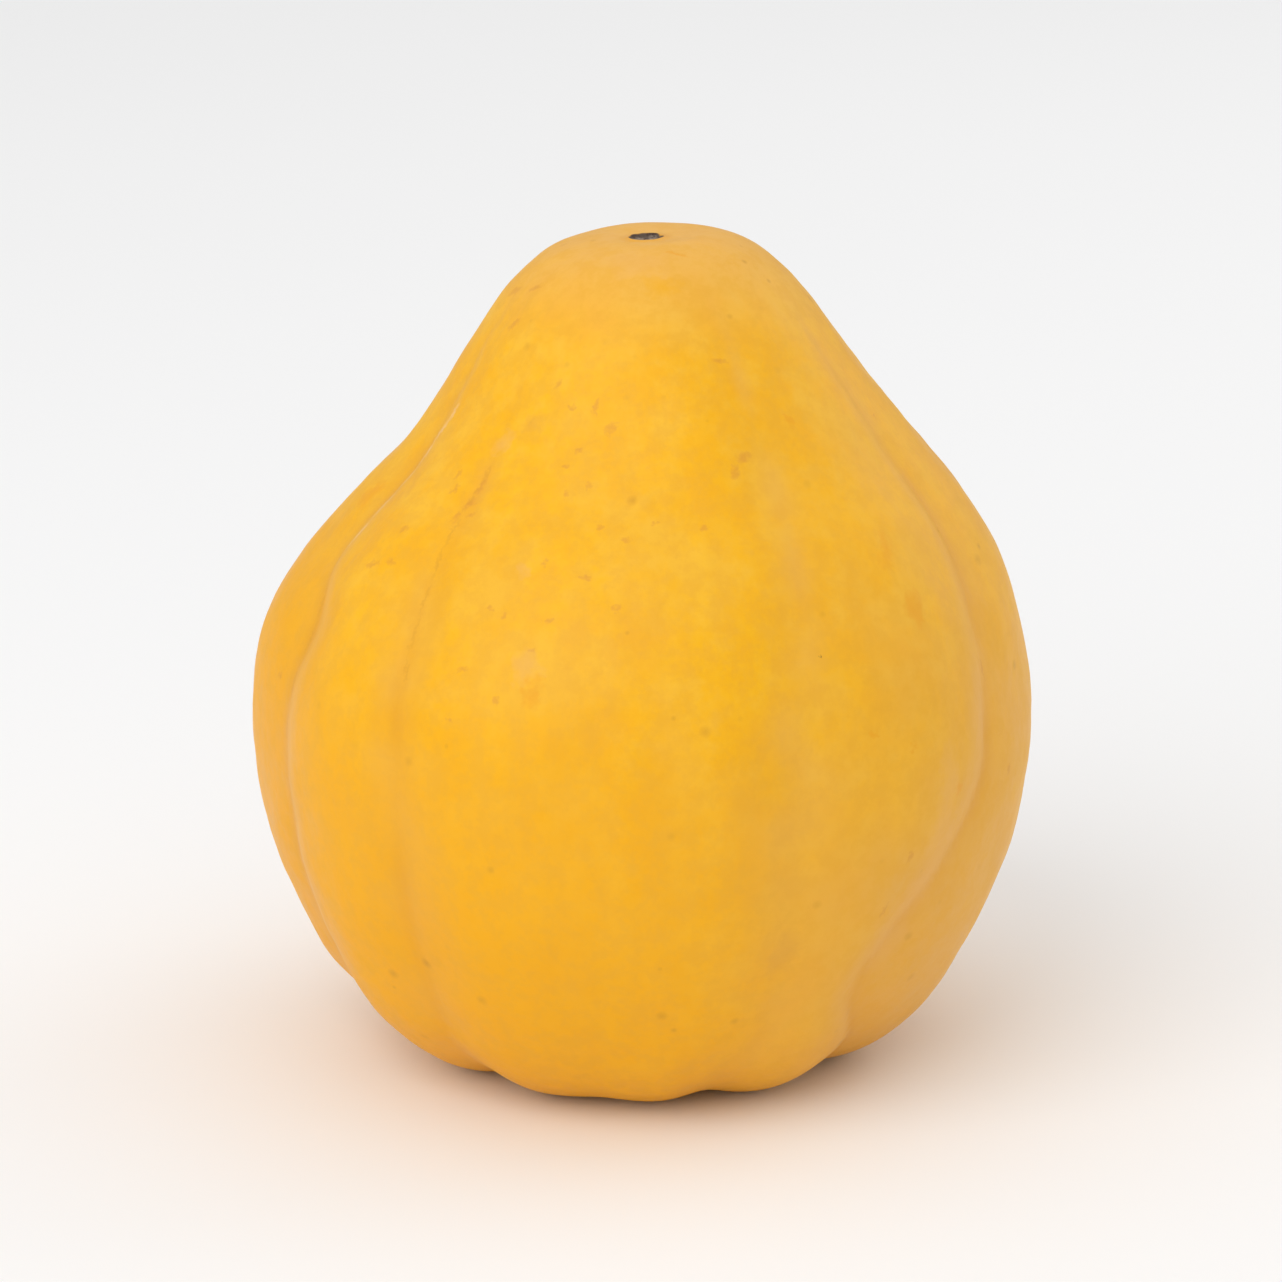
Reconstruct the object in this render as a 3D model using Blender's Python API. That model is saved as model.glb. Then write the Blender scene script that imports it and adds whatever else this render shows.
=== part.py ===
"""A whole winter squash, as picked, standing on its stem end with the blossom end up.

The fruit is one solid. Ten grooves run down it from pole to pole and part it into ribs, whose
lower ends are the feet that it stands on, round a pit that holds the scar of the stem.
Metres, +Z up. The front is -Y, and angles run from there towards +X.
"""

import math

import bmesh
import bpy
from mathutils import Vector, noise

NODE_NAME = "winter_squash"

# Driving dimensions.
HEIGHT = 0.1840
WIDEST_RADIUS = 0.0858
GROOVE_DEPTH = 0.0030
FOOT_PRESS = 0.0008

# The meridian along a rib's crest, from the stem scar round the foot and up to the blossom scar:
# radius as a share of WIDEST_RADIUS, height as a share of HEIGHT, groove as a share of
# GROOVE_DEPTH, and how far the fruit leans there along X.
MERIDIAN = (
    (0.000, 0.066, 0.00, 0.0),
    (0.060, 0.066, 0.00, 0.0),
    (0.115, 0.064, 0.05, 0.0),
    (0.142, 0.057, 0.35, 0.0),
    (0.185, 0.040, 0.80, 0.0),
    (0.245, 0.017, 1.15, 0.0),
    (0.320, 0.003, 1.35, 0.0),
    (0.410, 0.000, 1.50, 0.0),
    (0.545, 0.010, 1.50, 0.0),
    (0.676, 0.042, 1.40, 0.0),
    (0.800, 0.102, 1.25, 0.0),
    (0.893, 0.185, 1.10, 0.0),
    (0.961, 0.272, 1.00, 0.0),
    (0.993, 0.358, 0.95, 0.0),
    (1.000, 0.444, 0.95, 0.0),
    (0.968, 0.530, 0.95, 0.0002),
    (0.889, 0.611, 0.95, 0.0024),
    (0.775, 0.687, 0.90, 0.0046),
    (0.647, 0.758, 0.75, 0.0054),
    (0.545, 0.822, 0.50, 0.0044),
    (0.452, 0.885, 0.25, 0.0032),
    (0.362, 0.941, 0.10, 0.0027),
    (0.252, 0.980, 0.00, 0.0025),
    (0.136, 0.998, 0.00, 0.0025),
    (0.062, 1.000, 0.00, 0.0025),
    (0.043, 1.000, 0.00, 0.0025),
    (0.030, 0.996, 0.00, 0.0025),
    (0.000, 0.995, 0.00, 0.0025),
)

# One row for each groove: its angle in degrees in the pit, above the foot, at the waist and at
# the crown, and its depth as a share of the full groove.
GROOVES = (
    (-72, -66, -67, -77, 1.00),
    (-40, -40, -40, -44, 0.75),
    (-11, -9, -9, -10, 0.22),
    (16, 22, 22, 24, 0.60),
    (49, 41, 59, 60, 0.95),
    (92, 90, 97, 97, 0.90),
    (131, 131, 134, 133, 1.00),
    (173, 173, 172, 171, 0.85),
    (211, 211, 209, 208, 1.00),
    (249, 252, 250, 247, 0.95),
)
PIT_LEVEL, FOOT_LEVEL, WAIST_LEVEL, CROWN_LEVEL = 0.05, 0.17, 0.45, 0.80
CREASE_SHARE = 0.35
CREASE_WIDTH = math.radians(5)

# Broad unevenness of the rind: how far it swells, and over what distance. It dies out towards
# the two scars, and below the calm height, so that every rib reaches the ground.
SWELL = 0.0009
SWELL_SPAN = 0.045
CALM_RADIUS = 0.025
CALM_HEIGHT = 0.020

MERIDIAN_COUNT = 80
RING_COUNT = 48

RIND_COLOUR = (0.88, 0.47, 0.045, 1.0)
RIND_ROUGHNESS = 0.42


def clear_scene():
    """Removes every object from the scene."""
    for obj in list(bpy.data.objects):
        bpy.data.objects.remove(obj)


def spline(rows, at):
    """The point at parameter `at`, counted in rows, on a Catmull-Rom curve through the rows."""
    index = min(int(at), len(rows) - 2)
    t = at - index
    before, start = rows[max(index - 1, 0)], rows[index]
    end, after = rows[index + 1], rows[min(index + 2, len(rows) - 1)]
    return tuple(
        0.5 * (2 * b + (c - a) * t + (2 * a - 5 * b + 4 * c - d) * t**2 + (3 * b - a - 3 * c + d) * t**3)
        for a, b, c, d in zip(before, start, end, after, strict=True)
    )


def meridian_rings():
    """Rings of (radius, height, groove depth, lean, outward normal in the plane of the meridian).

    They lie closest where the rows of the meridian do, at the two scars, and miss out the poles.
    """
    rings = []
    for ring in range(1, RING_COUNT + 1):
        at = (len(MERIDIAN) - 1) * ring / (RING_COUNT + 1)
        radius, height, depth, lean = spline(MERIDIAN, at)
        before, after = spline(MERIDIAN, at - 0.1), spline(MERIDIAN, at + 0.1)
        out = HEIGHT * (after[1] - before[1])
        up = WIDEST_RADIUS * (before[0] - after[0])
        normal = Vector((out, up)).normalized()
        rings.append((radius * WIDEST_RADIUS, height * HEIGHT, depth * GROOVE_DEPTH, lean, normal))
    return rings


def groove_angles(height):
    """The angle of each groove at a height, in radians, eased from one level to the next."""
    levels = (PIT_LEVEL, FOOT_LEVEL, WAIST_LEVEL, CROWN_LEVEL)
    share = min(max(height / HEIGHT, levels[0]), levels[-1])
    step = max(i for i in range(len(levels) - 1) if levels[i] <= share)
    t = (share - levels[step]) / (levels[step + 1] - levels[step])
    t = t * t * (3 - 2 * t)
    return [math.radians(groove[step] * (1 - t) + groove[step + 1] * t) for groove in GROOVES]


def groove_at(angle, height):
    """How deep the rind dips at an angle: 1 in a full groove, 0 on the crest of a rib."""
    angles = groove_angles(height)
    angle = angles[0] + (angle - angles[0]) % math.tau
    angles.append(angles[0] + math.tau)
    index = max(i for i in range(len(GROOVES)) if angles[i] <= angle)
    along = (angle - angles[index]) / (angles[index + 1] - angles[index])
    depth = GROOVES[index if along < 0.5 else (index + 1) % len(GROOVES)][-1]
    away = min(angle - angles[index], angles[index + 1] - angle)
    valley = math.cos(math.pi * along) ** 2
    crease = math.exp(-((away / CREASE_WIDTH) ** 2))
    return depth * ((1 - CREASE_SHARE) * valley + CREASE_SHARE * crease)


def rind_point(ring, angle):
    """The point of the rind on a ring at an angle from the front."""
    radius, height, depth, lean, normal = ring
    around = Vector((math.sin(angle), -math.cos(angle), 0))
    calm = min(1.0, radius / CALM_RADIUS) * min(1.0, height / CALM_HEIGHT)
    uneven = noise.noise((around * radius + Vector((0, 0, height))) / SWELL_SPAN)
    lift = SWELL * calm * uneven - depth * groove_at(angle, height)
    return around * (radius + lift * normal[0]) + Vector((lean, 0, height + lift * normal[1]))


def rind_mesh():
    """The closed surface of the fruit: rings of points joined by quads, and a fan at each pole."""
    shape = bmesh.new()
    rings = [
        [shape.verts.new(rind_point(ring, math.tau * i / MERIDIAN_COUNT)) for i in range(MERIDIAN_COUNT)]
        for ring in meridian_rings()
    ]
    for lower, upper in zip(rings, rings[1:]):
        for i in range(MERIDIAN_COUNT):
            j = (i + 1) % MERIDIAN_COUNT
            shape.faces.new((lower[i], lower[j], upper[j], upper[i]))
    for ring, (_, height, _, lean), turned in (
        (rings[0], MERIDIAN[0], True),
        (rings[-1], MERIDIAN[-1], False),
    ):
        pole = shape.verts.new((lean, 0, height * HEIGHT))
        for i in range(MERIDIAN_COUNT):
            pair = (ring[i], ring[(i + 1) % MERIDIAN_COUNT])
            shape.faces.new((*(reversed(pair) if turned else pair), pole))
    press_feet(shape)
    return shape


def press_feet(shape):
    """Flattens the lowest part of each rib into the spot it stands on, and centres the fruit."""
    floor = min(v.co.z for v in shape.verts) + FOOT_PRESS
    middle = [
        (min(v.co[k] for v in shape.verts) + max(v.co[k] for v in shape.verts)) / 2 for k in (0, 1)
    ]
    for v in shape.verts:
        v.co = (v.co.x - middle[0], v.co.y - middle[1], max(v.co.z, floor) - floor)


def rind_material():
    """The waxy golden rind."""
    material = bpy.data.materials.new("rind")
    material.use_nodes = True
    shader = material.node_tree.nodes["Principled BSDF"]
    shader.inputs["Base Color"].default_value = RIND_COLOUR
    shader.inputs["Roughness"].default_value = RIND_ROUGHNESS
    shader.inputs["Metallic"].default_value = 0.0
    return material


def make_squash():
    """Adds the fruit to the scene, shaded smooth."""
    shape = rind_mesh()
    mesh = bpy.data.meshes.new(NODE_NAME)
    shape.to_mesh(mesh)
    shape.free()
    mesh.shade_smooth()
    mesh.materials.append(rind_material())
    bpy.context.scene.collection.objects.link(bpy.data.objects.new(NODE_NAME, mesh))


clear_scene()
make_squash()
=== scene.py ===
"""A whole winter squash: golden, waxy and shallowly ribbed, standing on its stem end.

The fruit is raised ring by ring, from the stem scar round the foot and up to the blossom scar.
Its grooves, lines and swells are pushed in and out along the skin, its feet are pressed flat on
the ground, and one rind with bare scars, freckles and scuffs dresses it.

Metres, +Z up. The front is -Y, and angles run from there towards +X.
"""

import logging
import math
from collections.abc import Iterable
from dataclasses import dataclass, field
from enum import Enum
from typing import NamedTuple

import bpy
import numpy as np
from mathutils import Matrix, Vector, noise


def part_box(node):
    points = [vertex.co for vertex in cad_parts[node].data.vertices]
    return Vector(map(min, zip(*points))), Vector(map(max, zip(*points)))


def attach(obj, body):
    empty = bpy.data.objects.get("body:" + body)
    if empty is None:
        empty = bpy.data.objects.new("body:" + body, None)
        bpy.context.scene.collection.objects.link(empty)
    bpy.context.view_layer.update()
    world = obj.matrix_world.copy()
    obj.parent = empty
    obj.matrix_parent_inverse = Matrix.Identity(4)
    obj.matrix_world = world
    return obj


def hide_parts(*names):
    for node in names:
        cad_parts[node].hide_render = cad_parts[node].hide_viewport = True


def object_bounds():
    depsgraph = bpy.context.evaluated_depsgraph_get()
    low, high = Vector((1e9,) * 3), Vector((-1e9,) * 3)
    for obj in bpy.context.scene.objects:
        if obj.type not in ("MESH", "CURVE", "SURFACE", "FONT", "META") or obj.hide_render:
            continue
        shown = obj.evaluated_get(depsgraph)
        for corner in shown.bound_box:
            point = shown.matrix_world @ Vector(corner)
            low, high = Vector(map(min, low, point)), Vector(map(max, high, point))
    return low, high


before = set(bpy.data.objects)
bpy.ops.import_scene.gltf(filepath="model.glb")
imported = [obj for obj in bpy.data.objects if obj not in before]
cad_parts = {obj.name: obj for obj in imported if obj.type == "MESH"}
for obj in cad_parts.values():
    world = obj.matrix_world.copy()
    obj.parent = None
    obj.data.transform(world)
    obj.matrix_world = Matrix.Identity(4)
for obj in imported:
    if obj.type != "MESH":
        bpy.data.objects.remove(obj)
CAD_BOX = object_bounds()

Colour = tuple[float, float, float, float]
Socket = bpy.types.NodeSocket
Inputs = dict[str | int, object]

MM_PER_M = 1000
log = logging.getLogger("winter_squash")


# ---------------------------------------------------------------- modelling by hand


def start_piece(name: str, obj: bpy.types.Object) -> bpy.types.Object:
    """Names a new object and its mesh.

    Args:
        name: The name for both.
        obj: The new object.

    Returns:
        The same object.
    """
    obj.name = name
    obj.data.name = name
    return obj


def deselect_all() -> None:
    """Leaves nothing selected, so that the next operator acts on its own piece only."""
    for obj in bpy.context.selected_objects:
        obj.select_set(False)


def points_of(obj: bpy.types.Object) -> np.ndarray:
    """Reads the places of a piece's vertices.

    Args:
        obj: The piece.

    Returns:
        The vertices, one row each.
    """
    places = np.empty(len(obj.data.vertices) * 3)
    obj.data.vertices.foreach_get("co", places)
    return places.reshape(-1, 3)


def pick_points(obj: bpy.types.Object, chosen: np.ndarray) -> None:
    """Enters edit mode with only some of the piece's vertices selected.

    Args:
        obj: The piece, which is the active object.
        chosen: True for each vertex to select.
    """
    bpy.ops.object.mode_set(mode="EDIT")
    bpy.ops.mesh.select_mode(type="VERT")
    bpy.ops.mesh.select_all(action="DESELECT")
    bpy.ops.object.mode_set(mode="OBJECT")
    obj.data.vertices.foreach_set("select", chosen)
    bpy.ops.object.mode_set(mode="EDIT")


def paint(obj: bpy.types.Object, group: str, weights: np.ndarray) -> None:
    """Paints a vertex group over the whole piece.

    Args:
        obj: The piece.
        group: The group's name. It is made if the piece has none of that name.
        weights: One weight for each vertex, which is clipped to between 0 and 1.
    """
    painted = obj.vertex_groups.get(group) or obj.vertex_groups.new(name=group)
    for index, weight in enumerate(np.clip(weights, 0, 1).tolist()):
        painted.add([index], weight, "REPLACE")


def weights_of(obj: bpy.types.Object, group: str) -> np.ndarray:
    """Reads a vertex group.

    Args:
        obj: The piece.
        group: The group's name.

    Returns:
        The weight of each vertex, which is 0 outside the group.
    """
    wanted = obj.vertex_groups[group].index
    found = np.zeros(len(obj.data.vertices))
    for vertex in obj.data.vertices:
        for member in vertex.groups:
            if member.group == wanted:
                found[vertex.index] = member.weight
    return found


def work_in(obj: bpy.types.Object, kind: str, **settings: object) -> None:
    """Adds a modifier to the active piece and applies it.

    Args:
        obj: The piece.
        kind: The modifier's type.
        **settings: The modifier's properties.
    """
    bpy.ops.object.modifier_add(type=kind)
    modifier = obj.modifiers[-1]
    for name, value in settings.items():
        setattr(modifier, name, value)
    bpy.ops.object.modifier_apply(modifier=modifier.name)


def round_off(obj: bpy.types.Object) -> None:
    """Halves every quad with one level of subdivision surface."""
    work_in(obj, "SUBSURF", levels=1, render_levels=1)


def push(obj: bpy.types.Object, group: str, depth: float) -> None:
    """Moves the skin out along its normals, by the depth where the group's weight is 1."""
    work_in(obj, "DISPLACE", strength=depth, mid_level=0.0, vertex_group=group)


def roughen(obj: bpy.types.Object, group: str, span: float, height: float, depth: int = 2) -> None:
    """Swells and sinks the skin by soft noise.

    Args:
        obj: The piece.
        group: The group that says where the noise acts.
        span: The distance over which it rises and falls.
        height: The noise's full height, half of it each way.
        depth: How many finer octaves it has.
    """
    clouds = bpy.data.textures.new(f"{obj.name} {group} {span}", "CLOUDS")
    clouds.noise_scale = span
    clouds.noise_depth = depth
    clouds.noise_basis = "ORIGINAL_PERLIN"
    local = {"texture": clouds, "texture_coords": "LOCAL"}
    work_in(obj, "DISPLACE", **local, strength=height, mid_level=0.5, vertex_group=group)
    bpy.data.textures.remove(clouds)


def soft_noise(places: Iterable[tuple[float, float, float]]) -> np.ndarray:
    """Soft noise between about -1 and 1, at each of some places."""
    return np.array([noise.noise(place) for place in places])


def fall_off(away: np.ndarray, width: float | np.ndarray) -> np.ndarray:
    """A bell curve: 1 where nothing is away, and next to nothing two widths off."""
    return np.exp(-((away / width) ** 2))


# ---------------------------------------------------------------- the fruit


@dataclass(frozen=True)
class Station:
    """One ring of the crest line, in millimetres, as the fruit stands.

    Attributes:
        radius: The ring's radius.
        height: Its height above the ground.
        groove: How deep a full groove is there.
        lean: How far the fruit leans there, along X.
        nod: How far it nods there, along Y.
        tilt: How many degrees the ring is tilted up on the side of +X.
    """

    radius: float
    height: float
    groove: float = 0.0
    lean: float = 0.0
    nod: float = 0.0
    tilt: float = 0.0


@dataclass(frozen=True)
class Groove:
    """One groove between two ribs.

    Attributes:
        angles: Its angle in degrees at each of the fruit's levels, from the pit to the crown.
        depth: Its depth, as a share of the full groove.
        line: How clear the thin line is that runs down its bed.
        shoulder: How proud the rib beside it stands: above 0 on the side of rising angles, and
            below 0 on the other.
        bloom: How clear the dull, dusty band is that runs down its bed.
        crown: The share of its depth that it keeps at the crown.
    """

    angles: tuple[float, ...]
    depth: float
    line: float = 0.3
    shoulder: float = 0.0
    bloom: float = 0.5
    crown: float = 1.0


class Blemish(Enum):
    """What marks the rind, real marks and painted light alike: its colour, the share of the rind that it
    covers, and how frayed it is.
    """

    DOT = ((0.16, 0.055, 0.012, 1.0), 0.85, 0.0)
    SCUFF = ((0.68, 0.26, 0.035, 1.0), 0.46, 0.0)
    STAIN = ((0.84, 0.33, 0.004, 1.0), 0.50, 1.0)
    HONEY = ((0.88, 0.42, 0.001, 1.0), 0.60, 1.0)
    BRUISE_AND_SHADOW = ((0.72, 0.34, 0.045, 1.0), 0.36, 1.0)
    PALE_AND_HIGHLIGHT = ((0.84, 0.45, 0.12, 1.0), 0.40, 1.0)
    PAINTED_HIGHLIGHT = ((0.92, 0.58, 0.25, 1.0), 0.60, 0.0)
    SEAM = ((0.64, 0.27, 0.015, 1.0), 0.32, 0.0)

    @property
    def colour(self) -> Colour:
        """The mark's colour."""
        return self.value[0]

    @property
    def cover(self) -> float:
        """The share of the rind's own colour that the mark hides."""
        return self.value[1]

    @property
    def fray(self) -> float:
        """How far the mark's edge strays, from 0 for a neat mark to 1 for a ragged one."""
        return self.value[2]


@dataclass(frozen=True)
class Mark:
    """One mark on the rind.

    Attributes:
        blemish: What it is.
        angle: Its angle from the front, in degrees.
        height: Its height above the ground, in millimetres.
        length: Its length, in millimetres.
        width: Its width, in millimetres.
        slope: How far its length is turned up from the level, in degrees.
    """

    blemish: Blemish
    angle: float
    height: float
    length: float
    width: float
    slope: float = 0.0


class Oval(NamedTuple):
    """A place on the skin.

    Attributes:
        middle: Its middle.
        along: The direction of its length.
        length: Half its length.
        width: Half its width.
    """

    middle: Vector
    along: Vector
    length: float
    width: float


def marks_of(blemish: Blemish, *rows: tuple[float, ...]) -> tuple[Mark, ...]:
    """Makes many marks of one kind: a row for each, of its angle, height, length, width and slope."""
    return tuple(Mark(blemish, *row) for row in rows)


STEM_END = (
    Station(1.4, 11.9),
    Station(3.0, 11.3),
    Station(5.0, 11.5),
    Station(7.2, 11.0),
    Station(9.2, 10.8),
    Station(10.6, 10.9),
    Station(11.5, 11.6, 0.05),
    Station(12.5, 11.0, 0.4),
    Station(13.7, 9.6, 1.4),
    Station(15.9, 7.4, 2.4),
    Station(18.3, 5.0, 3.0),
    Station(21.0, 3.1, 3.5),
    Station(24.2, 1.5, 3.8),
    Station(27.5, 0.55, 4.1),
    Station(31.2, 0.1, 4.3),
    Station(35.2, 0.0, 4.5),
)
FLANK = (
    Station(46.8, 1.8, 4.5),
    Station(58.0, 7.7, 4.2),
    Station(68.6, 18.8, 3.75),
    Station(76.8, 34.0, 3.3, -0.1),
    Station(83.0, 50.0, 3.0, -0.2),
    Station(86.0, 65.9, 2.85, -0.3),
    Station(86.9, 81.7, 2.85, -0.3),
    Station(84.3, 97.5, 2.85, 0.0),
    Station(77.2, 112.4, 2.85, 2.2),
    Station(67.3, 126.4, 2.7, 4.3),
    Station(55.5, 139.5, 2.0, 4.8),
    Station(46.8, 151.2, 1.2, 3.8),
    Station(39.1, 162.8, 0.5, 2.6, 0.0, 0.2),
    Station(31.5, 173.1, 0.15, 1.9, 0.0, 0.6),
)
BLOSSOM_END = (
    Station(22.7, 180.9, 0.0, 1.5, -0.6, 1.2),
    Station(17.0, 183.2, 0.0, 1.5, -1.2, 2.4),
    Station(12.2, 184.2, 0.0, 2.2, -2.0, 3.6),
    Station(8.4, 184.2, 0.0, 1.5, -3.3, 3.2),
    Station(5.8, 183.9, 0.0, 0.6, -4.1, 2.5),
    Station(4.7, 183.9, 0.0, 0.4, -4.3, 2.5),
    Station(4.1, 184.15, 0.0, 0.3, -4.4, 2.5),
    Station(3.7, 184.25, 0.0, 0.3, -4.4, 2.5),
    Station(3.3, 183.9, 0.0, 0.3, -4.4, 2.5),
    Station(2.9, 183.4, 0.0, 0.3, -4.4, 2.5),
    Station(2.3, 183.2, 0.0, 0.3, -4.4, 2.5),
    Station(1.6, 183.4, 0.0, 0.3, -4.4, 2.5),
    Station(0.8, 183.7, 0.0, 0.3, -4.4, 2.5),
)

# The marks that stand out on the front, one by one, painted highlights, painted shade and a painted shadow
# among them. The rest of the rind is freckled all over.
MARKS = (
    *marks_of(Blemish.DOT, (28, 108, 1.0, 0.9)),
    *marks_of(
        Blemish.SCUFF,
        (41, 63, 3.2, 1.5, 70), (38, 51.5, 5.0, 1.5, 65), (62.5, 96, 5.5, 1.6, 86),
        (67, 72.5, 3.4, 2.0, 60), (71, 147, 2.4, 1.5, 60), (-75, 172, 6.0, 2.6, 30),
        (-59, 174, 4.6, 2.2, 35), (-57, 167, 4.8, 2.4, 55), (-26, 158, 2.6, 2.0, 60), (-20, 154, 2.0, 1.8),
        (-13, 154.5, 4.6, 1.8, 80), (-8, 150.5, 4.0, 2.6, 50), (-16, 146, 2.4, 2.0), (-18.5, 143, 2.0, 1.5),
        (-17, 138, 2.4, 1.8, 70), (-12, 140, 2.2, 1.8, 80), (-3, 131, 3.0, 2.0, -10), (3, 134, 2.0, 1.5),
        (-8, 133, 2.2, 1.7), (-10, 124, 3.0, 1.6, 5), (-4, 119, 2.4, 2.2), (-15, 116, 2.4, 1.6, 20),
        (-18, 126, 2.4, 1.8, 60), (-23, 116, 2.4, 1.8, 60), (-26, 117, 2.2, 1.4), (-17, 110.5, 2.2, 1.6),
        (-28, 105.5, 2.8, 1.7, 20), (-21.5, 100.5, 2.4, 1.8, 70), (-28.5, 95.5, 2.0, 1.4),
        (12, 133, 2.2, 1.8), (25, 163, 4.4, 1.7, -12), (24.5, 145, 4.0, 3.0, 20),
        (21.5, 142.5, 4.2, 2.4, 60), (-48.5, 138, 3.2, 1.8, 80), (-47, 135.5, 3.2, 1.9, 60),
        (-40, 137, 5.0, 1.9, 75), (-41, 133.5, 4.6, 2.4, 50), (-39, 132, 3.2, 1.6, 30),
        (-42.5, 131, 3.6, 2.1, 70), (-53.5, 127, 3.4, 2.0, 20), (-56, 119.5, 5.4, 2.0, 30),
        (-51.5, 121, 3.6, 1.8, 10), (-71.5, 91.5, 2.4, 1.6),
    ),
    # Painted shade: thin dark lines down the creases of the two left-hand grooves.
    *marks_of(
        Blemish.SEAM,
        (-40, 139, 5.5, 1.3, 86), (-41, 134.5, 8.5, 1.4, 78), (-41.4, 128.5, 9.5, 1.5, 85),
        (-41, 122.5, 9.0, 1.4, 97), (-40.2, 116, 8.5, 1.4, 92), (-39.5, 109.5, 9.5, 1.3, 94),
        (-38.5, 103, 8.0, 1.2, 108), (-70.6, 115, 8.0, 1.4, 111), (-67.8, 108.5, 9.5, 1.6, 107),
        (-66.1, 101, 9.5, 1.6, 92), (-66, 92, 9.5, 1.5, 97), (-66.4, 83, 9.0, 1.3, 80),
    ),
    # Painted highlight: a pale pink line along the proud ridge beside the far left groove, high up.
    *marks_of(
        Blemish.PAINTED_HIGHLIGHT,
        (-68.3, 147.2, 6.0, 2.0, 77), (-69.5, 143.4, 8.5, 2.2, 83), (-70.6, 138.2, 9.0, 2.4, 89),
        (-70.7, 133.1, 9.0, 2.5, 101), (-70.4, 127.8, 10.0, 2.5, 104), (-70.7, 121.5, 10.0, 2.2, 84),
    ),
    *marks_of(
        Blemish.STAIN,
        (-16.2, 103, 7.5, 4.6, 100), (25, 182, 7.0, 2.4, -14), (-80.5, 127.5, 11.0, 7.0, 55),
        (34.5, 92, 3.2, 2.6), (41.5, 87.5, 3.0, 2.4), (51, 75, 3.2, 2.8), (40, 150, 4.4, 3.0, 80),
        (47, 125.5, 9.0, 6.0, 70), (47.5, 113, 10.0, 6.0, 80),
    ),
    *marks_of(Blemish.HONEY, (10, 177, 9.5, 6.6)),
    # A small bruise high on the left, and a large painted shadow low on the front right.
    *marks_of(Blemish.BRUISE_AND_SHADOW, (-31, 150, 9.0, 6.0, 30), (22, 45, 13.0, 8.0, 75)),
    # Pale patches on the left of the front. The rest are painted light: a painted highlight in a broad band
    # beside the groove low on the right, and a painted reflection on the crown in front of the blossom scar.
    *marks_of(
        Blemish.PALE_AND_HIGHLIGHT,
        (-17.4, 107.5, 8.5, 7.0, 96), (-21.6, 124.6, 6.0, 5.0), (-39, 145, 7.0, 5.0, 60),
        (48.5, 77, 20.0, 9.0, 90), (47.5, 66, 22.0, 11.0, 85), (45.5, 54, 22.0, 12.0, 75),
        (42, 42, 20.0, 12.0, 70), (-2, 181, 18.0, 11.0),
    ),
)


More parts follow.
